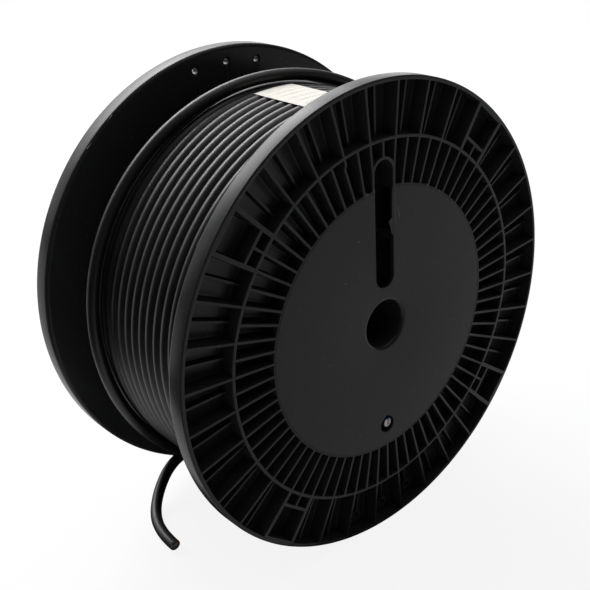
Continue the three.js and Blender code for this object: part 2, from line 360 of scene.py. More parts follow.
def turn(angle: float) -> Matrix:
    """Gives a turn in degrees about the axle, clockwise as seen from the slotted flange."""
    return Matrix.Rotation(radians(angle), 4, "Y")


def verts_in(geom: Iterable[Any]) -> list[bmesh.types.BMVert]:
    """Picks the vertices out of an operator's geometry."""
    return [item for item in geom if isinstance(item, bmesh.types.BMVert)]


def slide(shape: Shape, by: Point, verts: Any = None) -> None:
    """Moves some vertices of a shape, or all of them."""
    bmesh.ops.translate(shape, vec=by, verts=verts or shape.verts)


def rotate(shape: Shape, by: Matrix, verts: Any = None, about: Point = CENTRE) -> None:
    """Rotates some vertices of a shape, or all of them."""
    bmesh.ops.rotate(shape, cent=about, matrix=by, verts=verts or shape.verts)


def face_outwards(shape: Shape) -> None:
    """Makes all the faces of a closed shape look outwards."""
    bmesh.ops.recalc_face_normals(shape, faces=shape.faces)


def close(shape: Shape) -> None:
    """Fills the open ends of a shape."""
    bmesh.ops.holes_fill(shape, edges=[e for e in shape.edges if e.is_boundary], sides=0)
    face_outwards(shape)


def mesh_of(name: str, shape: Shape) -> bpy.types.Mesh:
    """Turns a shape into mesh data.

    Args:
        name: the data's name.
        shape: the shape, which is freed.

    Returns:
        The mesh data.
    """
    mesh = bpy.data.meshes.new(name)
    shape.to_mesh(mesh)
    shape.free()
    return mesh


def linked(name: str, data: bpy.types.ID) -> bpy.types.Object:
    """Makes an object and puts it into the scene.

    Args:
        name: its name.
        data: its mesh, curve, light or camera.

    Returns:
        The object, at the origin.
    """
    made = bpy.data.objects.new(name, data)
    bpy.context.scene.collection.objects.link(made)
    return made


def spun(profile: Sequence[Pair], steps: int) -> Shape:
    """Turns a closed profile about the axle.

    Args:
        profile: radius and distance along the axle of each corner, in mm.
        steps: how many facets go round.

    Returns:
        The turned mesh.
    """
    shape = bmesh.new()
    corners = [shape.verts.new((0.0, y, r)) for r, y in profile]
    edges = [shape.edges.new((a, b)) for a, b in zip(corners, corners[1:] + corners[:1])]
    bmesh.ops.spin(
        shape, geom=corners + edges, cent=CENTRE, axis=(0, 1, 0), angle=tau, steps=steps,
        use_merge=True,
    )
    face_outwards(shape)
    return shape


def arc(centre: Pair, radius: float, start: float, end: float, steps: int) -> list[Pair]:
    """Gives an arc of a profile; its angles, in degrees, go from outwards to the winding's side."""
    angles = [radians(start + (end - start) * i / steps) for i in range(steps + 1)]
    return [(centre[0] + radius * cos(a), centre[1] + radius * sin(a)) for a in angles]


def prism(outline: Sequence[Pair], start: float, end: float) -> Shape:
    """Extrudes a closed outline outwards from the axle, at twelve o'clock.

    Args:
        outline: its corners, across and along the axle.
        start: the radius where it starts.
        end: the radius where it ends.

    Returns:
        The solid.
    """
    shape = bmesh.new()
    face = shape.faces.new([shape.verts.new((x, y, start)) for x, y in outline])
    grown = bmesh.ops.extrude_face_region(shape, geom=[face])["geom"]
    slide(shape, (0, 0, end - start), verts_in(grown))
    face_outwards(shape)
    return shape


def copied_round(shape: Shape, angles: Iterable[float]) -> Shape:
    """Repeats a shape about the axle.

    Args:
        shape: the shape at twelve o'clock, which is used up.
        angles: where each copy goes, in degrees.

    Returns:
        All the copies.
    """
    first = shape.verts[:] + shape.edges[:] + shape.faces[:]
    for angle in angles:
        copy = bmesh.ops.duplicate(shape, geom=first)["geom"]
        rotate(shape, turn(angle).to_3x3(), verts_in(copy))
    bmesh.ops.delete(shape, geom=verts_in(first), context="VERTS")
    return shape


class Solid:
    """A closed body in mm, that others are joined to or cut from."""

    def __init__(self, shape: Shape) -> None:
        """Takes over a closed shape, which is freed."""
        self.body = linked("solid", mesh_of("solid", shape))

    def meet(self, other: Solid, how: Joint) -> None:
        """Joins another solid to this one, or cuts it away.

        Args:
            other: the other solid, which is used up.
            how: whether it is added or cut.
        """
        modifier = self.body.modifiers.new("meet", "BOOLEAN")
        modifier.operation = how.value
        modifier.solver = "MANIFOLD"
        modifier.object = other.body
        depsgraph = bpy.context.evaluated_depsgraph_get()
        result = bpy.data.meshes.new_from_object(self.body.evaluated_get(depsgraph))
        self.body.modifiers.clear()
        old = self.body.data
        self.body.data = result
        bpy.data.meshes.remove(old)
        other.discard()

    def shape(self) -> Shape:
        """Gives the solid back as a mesh and discards the body."""
        shape = bmesh.new()
        shape.from_mesh(self.body.data)
        self.discard()
        return shape

    def discard(self) -> None:
        """Removes the body from the scene."""
        mesh = self.body.data
        bpy.data.objects.remove(self.body)
        bpy.data.meshes.remove(mesh)


def piece(
    name: str, shape: Shape, materials: Sequence[Material], place: Matrix, sharp: float = 32.0
) -> bpy.types.Object:
    """Makes a finished piece of the drum from a shape in mm.

    Args:
        name: the piece's name.
        shape: its shape, which is freed.
        materials: its materials, in the order of its faces' material numbers.
        place: where the shape goes, in mm.
        sharp: edges that bend by more than this many degrees stay sharp.

    Returns:
        The piece, at the origin, with its place in its mesh.
    """
    bmesh.ops.transform(shape, matrix=Matrix.Scale(MM, 4) @ place, verts=shape.verts)
    for face in shape.faces:
        face.smooth = True
    mesh = mesh_of(name, shape)
    mesh.set_sharp_from_angle(angle=radians(sharp))
    for material in materials:
        mesh.materials.append(material)
    return linked(name, mesh)


DRUM_PLACE = Matrix.Translation((0.0, -DRUM_WIDTH / 2, AXLE_HEIGHT))


# ---- the flange mouldings ----


@dataclass
class Flange:
    """One flange: a plain disc round the bore, two fields of ribs and a deep rim."""

    radius: float = 200.0
    thickness: float = 16.5
    floor: float = 14.5
    rim_wall: float = 3.3
    rim_round: float = 3.5
    lip: float = 1.1
    ring: Pair = (153.5, 156.2)
    disc: float = 118.0
    disc_wall: float = 3.0
    plate: float = 3.5
    bore: float = 20.0
    mouth_round: float = 4.0
    hub_wall: float = 5.0
    hub_length: float = 32.0
    spigot: Pair = (71.7, 74.7)
    spigot_length: float = 12.0
    slot_half: float = 9.75
    slot_ends: Pair = (33.5, 139.2)
    slot_wall: float = 2.6
    arch_start: float = 80.0
    sink_line: Pair = (1.0, 0.3)
    rib: float = 2.2
    rib_step: float = 10.0
    broken_at: float = 345.0
    overlap: float = 1.0
    into: float = 1.2
    into_rim: float = 0.9
    draft: float = 0.3
    edge: float = 0.35
    foot: float = 0.9
    low_depth: float = 8.5
    box_angles: tuple[float, ...] = (40.0, 130.0, 220.0, 310.0)
    box_wall: float = 3.6
    bar: Pair = (165.0, 167.8)
    end_wall: Pair = (194.6, 197.6)
    boss_angles: tuple[float, ...] = (170.0, 180.0, 190.0)
    boss_radius: float = 184.5
    boss: float = 5.0
    tie_hole: float = 2.7
    tie_sink: Pair = (1.5, 0.9)
    lead_at: float = 97.0
    lead_hole: float = 7.5
    lead_groove: Point = (3.0, 9.0, 2.0)
    facets: int = 288
    worn: bool = False

    def profile(self) -> list[Pair]:
        """Gives the turned section, clockwise from the bore's mouth."""
        e, f, deep = self.edge, self.foot, self.floor - self.foot
        ring_in, ring_out = self.ring
        rim = self.radius - self.rim_wall
        hub = self.bore + self.hub_wall
        back = self.plate + self.spigot_length
        mouth, lip, turned = self.mouth_round, self.lip, self.rim_round
        line, sunk = self.disc - self.sink_line[0], self.sink_line[1]
        inside = self.disc - self.disc_wall
        spigot_in, spigot_out = self.spigot
        return [
            *arc((self.bore + mouth, mouth), mouth, 180, 270, 8),
            (line - 0.9, 0.0), (line - 0.7, sunk), (line - 0.2, sunk), (line, 0.0),
            *arc((self.disc - e, e), e, 270, 360, 2), *arc((self.disc + e + f, deep), f, 180, 90, 3),
            *arc((ring_in - e - f, deep), f, 90, 0, 3), *arc((ring_in + e, e), e, 180, 270, 2),
            *arc((ring_out - e, e), e, 270, 360, 2), *arc((ring_out + e + f, deep), f, 180, 90, 3),
            *arc((rim - e - f, deep), f, 90, 0, 3), *arc((rim + e, e), e, 180, 270, 2),
            *arc((self.radius - lip, lip), lip, 270, 360, 5),
            *arc((self.radius - turned, self.thickness - turned), turned, 0, 90, 7),
            (inside, self.thickness), (inside, self.plate),
            (spigot_out, self.plate), (spigot_out, back), (spigot_in, back), (spigot_in, self.plate),
            (hub, self.plate), (hub, self.hub_length), (self.bore, self.hub_length),
        ]

    def wall(self, width: float, inner: float, outer: float, top: float = 0.0) -> Shape:
        """Makes a rib at twelve o'clock, drafted, with soft front edges and a fillet at its foot.

        Args:
            width: its thickness at its front edge.
            inner: the radius where it starts.
            outer: the radius where it ends.
            top: how far its front edge stands below the flange's face.

        Returns:
            The rib.
        """
        half, e, f = width / 2, self.edge, self.foot
        base = half + self.draft + f
        side = [*arc((half - e, top + e), e, 270, 360, 2), *arc((base, self.floor - f), f, 180, 90, 3)]
        side.append((base, self.floor + self.overlap))
        return prism(side + [(-x, y) for x, y in reversed(side)], inner, outer)

    def capsule(self, half: float, ends: Pair, depths: Pair, flare: float = 0.0) -> Shape:
        """Makes a solid with the slot's rounded outline.

        Args:
            half: half its width.
            ends: the radii that its two round ends reach.
            depths: where it starts and ends along the axle.
            flare: how much wider its front is.

        Returns:
            The solid.
        """
        shape = bmesh.new()
        bmesh.ops.create_circle(shape, cap_ends=True, radius=half, segments=64)
        rotate(shape, QUARTER_ABOUT_X)
        back = verts_in(bmesh.ops.extrude_face_region(shape, geom=shape.faces[:])["geom"])
        front = [v for v in shape.verts if v not in back]
        bmesh.ops.scale(shape, vec=(1 + flare / half, 1, 1 + flare / half), verts=front)
        upper = [v for v in shape.verts if v.co.z > 1e-4]
        lower = [v for v in shape.verts if v.co.z <= 1e-4]
        slide(shape, (0, 0, ends[1] - half), upper)
        slide(shape, (0, 0, ends[0] + half), lower)
        slide(shape, (0, depths[1], 0), back)
        slide(shape, (0, depths[0], 0), front)
        face_outwards(shape)
        return shape

    def rod(self, radius: float, at: float, depths: Pair, sides: int = 32, back: float = 0.0) -> Shape:
        """Makes a round rod along the axle's direction.

        Args:
            radius: its radius.
            at: how far its centre line is from the axle.
            depths: where it starts and ends along the axle.
            sides: how many sides it has.
            back: its radius at its far end, or 0 where that is the same.

        Returns:
            The rod.
        """
        shape = bmesh.new()
        start, end = depths
        bmesh.ops.create_cone(
            shape, cap_ends=True, segments=sides, radius1=back or radius, radius2=radius,
            depth=end - start,
        )
        rotate(shape, QUARTER_ABOUT_X)
        slide(shape, (0, (start + end) / 2, at))
        return shape

    def across(self, inner: float, outer: float) -> Shape:
        """Makes a bar from side to side of a box frame at twelve o'clock.

        Args:
            inner: the radius of its inner side.
            outer: the radius of its outer side.

        Returns:
            The bar.
        """
        middle = (inner + outer) / 2
        half = middle * tan(radians(self.rib_step / 2))
        shape = self.wall(outer - inner, -half, half)
        rotate(shape, turn(90).to_3x3())
        slide(shape, (0, 0, middle))
        return shape

    def slot_arch(self) -> Shape:
        """Makes the wall that carries the slot on through the inner ribs."""
        half = self.slot_half + self.slot_wall
        cut = (0, 0, self.disc - self.disc_wall / 2 - self.overlap)
        ends = (self.arch_start, self.slot_ends[1] + self.slot_wall)
        shape = self.capsule(half, ends, (0.0, self.floor + self.overlap))
        everything = shape.verts[:] + shape.edges[:] + shape.faces[:]
        bmesh.ops.bisect_plane(shape, geom=everything, plane_co=cut, plane_no=(0, 0, 1), clear_inner=True)
        close(shape)
        return shape

    def ribs(self) -> list[Shape]:
        """Gives all the ribs, bars and bosses, in sets whose members don't touch."""
        ring_in, ring_out = self.ring
        rim = self.radius - self.rim_wall + self.into_rim
        root = ring_out - self.into
        half = self.rib_step / 2
        around = [self.rib_step * i for i in range(round(360 / self.rib_step))]
        sides = [(a + s) % 360 for a in self.box_angles for s in (-half, half)]
        tall = [a + half for a in around if a + half not in sides]
        low = [a for a in around if a not in (*self.box_angles, *self.boss_angles)]
        broken = self.broken_at if self.worn else None
        inner = [a + s for a in around for s in (0.0, half) if a + s != broken]
        boss = self.rod(self.boss, self.boss_radius, (self.low_depth, self.floor + self.overlap))
        return [
            copied_round(self.wall(self.rib, self.disc - self.overlap, ring_in + self.into), inner),
            copied_round(self.wall(self.rib, root, rim), tall),
            copied_round(self.wall(self.box_wall, root, rim), sides),
            copied_round(self.wall(self.rib, root, rim, self.low_depth), low),
            copied_round(self.wall(self.rib, root, self.boss_radius, self.low_depth), self.boss_angles),
            copied_round(self.across(*self.bar), self.box_angles),
            copied_round(self.across(*self.end_wall), self.box_angles),
            copied_round(self.wall(self.rib, root, self.bar[0] + self.overlap), self.box_angles),
            copied_round(boss, self.boss_angles),
            self.slot_arch(),
        ]

    def holes(self) -> list[Shape]:
        """Gives everything that is cut away: the slot, the lead hole and the tie holes."""
        at, radius, tie, e = self.lead_at, self.lead_hole, self.tie_hole, self.edge
        through = (-2.0, self.thickness + 2)
        start, end = self.slot_ends
        half, inwards, outwards = self.lead_groove
        wider, deep = self.tie_sink
        sunk = (self.thickness - deep, self.thickness + 0.1)
        return [
            self.capsule(self.slot_half, self.slot_ends, through),
            self.capsule(self.slot_half - 0.01, (start + 0.01, end - 0.01), (-e, e), 2 * e),
            copied_round(self.rod(radius, at, through, 48), [180.0]),
            copied_round(self.rod(radius + 2 * e, at, (-e, e), 48, radius - 0.01), [180.0]),
            copied_round(self.capsule(half, (at - inwards, at + outwards), through), [180.0]),
            copied_round(self.rod(tie, self.boss_radius, through, 24), self.boss_angles),
            copied_round(self.rod(tie, self.boss_radius, sunk, 24, tie + wider), self.boss_angles),
        ]

    def build(self) -> Shape:
        """Joins the shell and all its ribs, and cuts the holes.

        Returns:
            The flange with its outer face at zero and its winding side along +Y.
        """
        body = Solid(spun(self.profile(), self.facets))
        for shape in self.ribs():
            body.meet(Solid(shape), Joint.ADD)
        if self.worn:
            self.add_broken_rib(body)
        for shape in self.holes():
            body.meet(Solid(shape), Joint.CUT)
        if self.worn:
            body.meet(Solid(self.torn_flash()), Joint.ADD)
        return body.shape()

    def torn_flash(self) -> Shape:
        """Makes the sliver of flash in the slot's right side, which ends in a torn tab."""
        outline = (
            (10.2, 116.5), (9.3, 116.0), (8.7, 108.0), (8.5, 98.0), (8.4, 90.5), (6.4, 89.6), (4.8, 88.2),
            (5.4, 86.6), (6.6, 84.0), (7.2, 80.6), (8.2, 77.0), (10.2, 76.0),
        )
        shape = prism(outline, -0.9, -0.15)
        rotate(shape, QUARTER_ABOUT_X)
        return shape

    def add_broken_rib(self, body: Solid) -> None:
        """Adds the one inner rib that is cracked through and out of line.

        Args:
            body: the flange.
        """
        breaks = (
            (self.disc - self.overlap, 146.5, -0.9, -3.6), (145.6, 149.9, -1.0, 30.0),
            (148.8, self.ring[0] + self.into, 0.1, 0.0),
        )
        for inner, outer, shift, lean in breaks:
            part = self.wall(self.rib, inner, outer)
            middle = (0, 0, (inner + outer) / 2)
            rotate(part, turn(lean).to_3x3(), about=middle)
            slide(part, (shift, 0, 0))
            body.meet(Solid(copied_round(part, [self.broken_at])), Joint.ADD)


@dataclass
class Barrel:
    """The tube between the flanges, notched where the slot passes its front end."""

    inner: float = 75.0
    outer: float = 79.0
    ends: Pair = (3.8, 202.2)
    notch: Pair = (10.0, 16.8)
    facets: int = 160

    def build(self) -> Shape:
        """Turns the tube and cuts its notch.

        Returns:
            The barrel, with the slotted flange's outer face at zero.
        """
        front, back = self.ends
        half, deep = self.notch
        tube_wall = [(self.inner, front), (self.outer, front), (self.outer, back), (self.inner, back)]
        body = Solid(spun(tube_wall, self.facets))
        gap = [(-half, front - 1), (half, front - 1), (half, deep), (-half, deep)]
        body.meet(Solid(prism(gap, self.inner - 3, self.outer + 3)), Joint.CUT)
        return body.shape()


# ---- the cable ----


@dataclass
class Cable:
    """The cable itself: its size and how its section is drawn."""

    diameter: float = 10.2
    sides: int = 14

    def section(self, radius: float, y: float) -> Shape:
        """Makes the cable's outline at twelve o'clock.

        Args:
            radius: how far its centre is from the axle.
            y: where it lies along the axle.

        Returns:
            A ring of edges.
        """
        shape = bmesh.new()
        bmesh.ops.create_circle(shape, radius=self.diameter / 2, segments=self.sides)
        rotate(shape, QUARTER_ABOUT_Y)
        slide(shape, (0, y, radius))
        return shape


@dataclass
class Winding:
    """The wound cable under the last turn: a full top layer and steps down to the far flange."""

    cable: Cable = field(default_factory=Cable)
    crest: float = 176.0
    start: float = 16.8
    first: float = 28.4
    spacing: float = 10.05
    turns: int = 13
    edge: float = 150.7
    pitch: float = 10.3
    steps_down: int = 4
    step: float = 5.0
    barrel: float = 79.4
    end: float = 189.2
    drift: tuple[Pair, ...] = ((16.8, 2.0), (60.0, 5.5), (128.0, 2.3), (150.0, 0.5), (189.2, 0.0))
    drift_angle: float = 305.0
    under: Pair = (4.1, 5.4)
    seam: float = 208.0
    level: float = 310.0
    round_steps: int = 110
    jog_steps: int = 22
    facets: int = 160
    waves: int = 40
    wave_size: Pair = (0.1, 0.28)
    fade: float = 8.0
    seed: int = 5
    phases: float = 6.3
    ledge: Point = (8.0, 7.0, 12.0)
    inset: Pair = (7.0, 4.0)
    short: float = 0.6
    gap: float = 0.3
    bare: float = 2.0

    def turn_rings(self, radius: float, first: float, count: int, spacing: float) -> Shape:
        """Winds one layer: level turns that step over to the next one underneath.

        Args:
            radius: how far the cable's centre is from the axle.
            first: where the first turn lies along the axle.
            count: how many turns there are.
            spacing: how far apart they are.

        Returns:
            The layer, as one closed tube.
        """
        shape = self.cable.section(radius, first)
        rotate(shape, turn(self.seam).to_3x3())
        last = shape.verts[:] + shape.edges[:]
        for index in range(count):
            runs = [(self.level, self.round_steps, 0.0)]
            if index < count - 1:
                runs.append((360.0 - self.level, self.jog_steps, spacing / self.jog_steps))
            for angle, steps, advance in runs:
                last = bmesh.ops.spin(
                    shape, geom=last, cent=CENTRE, axis=(0, 1, 0), dvec=(0, advance, 0),
                    angle=radians(angle), steps=steps, use_merge=False,
                )["geom_last"]
        bmesh.ops.remove_doubles(shape, verts=shape.verts, dist=0.001)
        close(shape)
        return shape

    def layers(self) -> list[Pair]:
        """Gives the centre radius and far edge of the top layer and each one under it."""
        found = [(self.crest - self.cable.diameter / 2, self.edge)]
        for _ in range(self.steps_down + 1):
            radius, edge = found[-1]
            found.append((radius - self.pitch * sin(pi / 3), edge + self.step))
        return found

    def core(self) -> Shape:
        """Makes the solid of inner turns that the shown layers lie on."""
        (top, edge), *steps, (deepest, _) = self.layers()
        down, level, up = self.ledge
        back, front = self.inset
        start, end = self.start, self.end - self.short
        profile = [(self.barrel, start), (top - down, start), (top - down, start + level)]
        profile += [(top, start + up), (top, edge - front)]
        for radius, edge in steps:
            profile += [(radius, edge - back), (radius, edge - front)]
        return spun([*profile, (deepest, end), (self.barrel, end)], self.facets)

    def drifted(self, y: float, angle: float) -> float:
        """Leans the turns a little, so that each one wanders along the axle.

        Args:
            y: where a point lies along the axle.
            angle: its angle in degrees.

        Returns:
            Where it lies after the lean.
        """
        for (low, small), (high, large) in zip(self.drift, self.drift[1:]):
            if low <= y <= high:
                size = small + (large - small) * (y - low) / (high - low)
                return y - size * sin(radians(angle - self.drift_angle))
        return y

    def build(self) -> Shape:
        """Winds the shown layers over the core.

        Returns:
            The winding, with the slotted flange's outer face at zero.
        """
        (top, edge), *steps, (deepest, _) = self.layers()
        half = self.pitch / 2
        lower, along = self.under
        wound = [self.turn_rings(top - lower, self.start + along, 1, 0.0)]
        wound.append(self.turn_rings(top, self.first, self.turns, self.spacing))
        for radius, edge in steps:
            wound.append(self.turn_rings(radius, edge - half - self.pitch, 2, self.pitch))
        count = int((self.end - edge) / self.pitch) + 2
        first = self.end - half - self.pitch * (count - 1) - self.gap
        wound.append(self.turn_rings(deepest, first, count, self.pitch))
        whole = self.core()
        noise = random.Random(self.seed)
        waves = [
            (noise.uniform(*self.wave_size), noise.uniform(0, self.phases)) for _ in range(self.waves)
        ]
        for layer in wound:
            scratch = mesh_of("layer", layer)
            whole.from_mesh(scratch)
            bpy.data.meshes.remove(scratch)
        for vert in whole.verts:
            x, y, z = vert.co
            if hypot(x, z) < self.barrel + self.bare:
                continue
            angle = atan2(x, z)
            size, phase = waves[int(y / self.pitch) % len(waves)]
            clear = min(1.0, (y - self.start) / self.fade, (self.end - y) / self.fade)
            moved = self.drifted(y, degrees(angle)) - y + size * sin(2 * angle + phase)
            vert.co.y += moved * clear
        return whole


def smooth_route(points: Sequence[Point], per_span: int) -> list[Point]:
    """Draws a smooth line through points.

    Args:
        points: the points.
        per_span: how many steps go between two of them.

    Returns:
        Points along the line.
    """
    knots = [Vector(p) for p in points]
    knots = [2 * knots[0] - knots[1], *knots, 2 * knots[-1] - knots[-2]]
    line: list[Point] = []
    for a, b, c, d in zip(knots, knots[1:], knots[2:], knots[3:]):
        for i in range(per_span):
            t = i / per_span
            curved = (2 * a - 5 * b + 4 * c - d) * t**2 + (3 * b - a - 3 * c + d) * t**3
            line.append(tuple(0.5 * (2 * b + (c - a) * t + curved)))
    return [*line, tuple(knots[-2])]


def tube(name: str, line: Sequence[Point], radius: float, material: Material) -> bpy.types.Object:
    """Makes a round cable along a line, both in metres.

    Args:
        name: the piece's name.
        line: the points of its centre line.
        radius: its radius.
        material: its finish.

    Returns:
        The cable, as a curve of one open spline.
    """
    curve = bpy.data.curves.new(name, "CURVE")
    curve.dimensions = "3D"
    curve.bevel_depth = radius
    curve.bevel_resolution = 6
    curve.use_fill_caps = True
    spline = curve.splines.new("POLY")
    spline.points.add(len(line) - 1)
    for knot, at in zip(spline.points, line):
        knot.co = (*at, 1.0)
    spline.use_smooth = True
    curve.materials.append(material)
    return linked(name, curve)


@dataclass
class LooseTurn:
    """The last turn, which lies loose on the top layer and wanders along the axle."""

    radius: float = 182.2
    middle: float = 124.7
    lean: float = 24.8
    lean_angle: float = 294.0
    start: float = 222.0
    risen: float = 256.0
    coil_radius: float = 180.0
    coil_y: float = 145.0
    end: float = 546.0
    swing: float = 31.0
    swing_angle: float = 55.0
    sag: float = 1.4
    sag_angle: float = 320.0
    steps: int = 260

    def at(self, angle: float) -> Point:
        """Gives the centre line's point at an angle, in metres.

        Args:
            angle: degrees, clockwise from the top of the slotted flange.

        Returns:
            The point.
        """
        y = self.middle + self.lean * cos(radians(angle - self.lean_angle))
        y += self.swing * max(0.0, 1 - (self.end - angle) / self.swing_angle) ** 2
        y -= self.sag * max(0.0, cos(radians(angle - self.sag_angle)))
        up = min(1.0, (angle - self.start) / (self.risen - self.start))
        up *= up * (3 - 2 * up)
        y = self.coil_y + (y - self.coil_y) * up
        radius = self.coil_radius + (self.radius - self.coil_radius) * up
        return tuple(MM * (DRUM_PLACE @ (turn(angle) @ Vector((0, y, radius)))))

    def line(self) -> list[Point]:
        """Gives the whole centre line."""
        whole = self.end - self.start
        return [self.at(self.start + whole * i / self.steps) for i in range(self.steps + 1)]


@dataclass
class FreeEnd:
    """The cable's free end, from the last turn round beside the far flange to the ground."""

    per_span: int = 5
    route: tuple[Point, ...] = (
        (-31.0, 154.8, 21.2), (-42.6, 162.1, 24.3), (-54.1, 169.2, 27.6), (-66.0, 175.7, 30.4),
        (-78.5, 180.9, 31.9), (-91.2, 183.6, 31.4), (-103.7, 183.9, 28.1), (-115.3, 181.9, 22.6),
        (-126.1, 176.9, 16.4), (-136.0, 169.8, 10.8), (-144.7, 160.7, 6.8), (-151.8, 149.7, 5.3),
        (-157.1, 137.5, 5.3), (-160.4, 124.5, 5.3), (-162.0, 111.1, 5.3), (-162.3, 104.3, 5.3),
    )

    def line(self, start: Point) -> list[Point]:
        """Gives the centre line from where the last turn ends, in metres."""
        points = [start, *((x * MM, (y - DRUM_WIDTH / 2) * MM, z * MM) for x, y, z in self.route)]
        return smooth_route(points, self.per_span)


@dataclass
class CutEnd:
    """The inside of the cable at a cut end: filler and cores as (up, left, radius, height, finish)."""

    discs: tuple[tuple[float, float, float, float, str], ...]
    sunk: float = 1.0
    taper: float = 0.92
    sides: int = 28

    def build(
        self, name: str, at: Point, along: Vector, finishes: dict[str, Material]
    ) -> bpy.types.Object:
        """Makes the discs on the end of the cable.

        Args:
            name: the piece's name.
            at: the middle of the cut, in metres.
            along: the direction that the cut faces.
            finishes: the materials by name.

        Returns:
            The piece.
        """
        shape = bmesh.new()
        order = sorted({finish for *_, finish in self.discs})
        for up, left, radius, height, finish in self.discs:
            before = len(shape.faces)
            made = bmesh.ops.create_cone(
                shape, cap_ends=True, segments=self.sides, radius1=radius, radius2=radius * self.taper,
                depth=height + self.sunk,
            )
            slide(shape, (up, left, (height - self.sunk) / 2), made["verts"])
            shape.faces.ensure_lookup_table()
            for index in range(before, len(shape.faces)):
                shape.faces[index].material_index = order.index(finish)
        turned = along.to_track_quat("Z", "X").to_matrix().to_4x4()
        place = Matrix.Translation(Vector(at) / MM) @ turned
        return piece(name, shape, [finishes[key] for key in order], place)


@dataclass
class Label:
    """A bare paper label that lies over the turns at the top of the coil."""

    radius: float = 176.4
    span: float = 39.5
    near: float = 41.5
    far: float = 121.0
    angle: float = -1.8
    pitch: float = 9.7
    first_crest: float = 28.0
    dip: float = 0.35
    thickness: float = 0.15
    segments: tuple[int, int] = (24, 96)

    def build(self) -> Shape:
        """Bends a thin sheet round the coil, sunk a little between the turns.

        Returns:
            The label, with the slotted flange's outer face at zero.
        """
        shape = bmesh.new()
        bmesh.ops.create_grid(shape, x_segments=self.segments[0], y_segments=self.segments[1], size=0.5)
        for vert in shape.verts:
            u, v = vert.co.x, vert.co.y
            y = self.near + (v + 0.5) * (self.far - self.near)
            wave = 0.5 - 0.5 * cos(2 * pi * (y - self.first_crest) / self.pitch)
            radius = self.radius - self.dip * wave * (1 - 4 * u * u)
            angle = radians(self.angle) + u * self.span / self.radius
            vert.co = (radius * sin(angle), y, radius * cos(angle))
        face_outwards(shape)
        bmesh.ops.solidify(shape, geom=shape.faces[:], thickness=self.thickness)
        face_outwards(shape)
        return shape


# ---- the studio ----


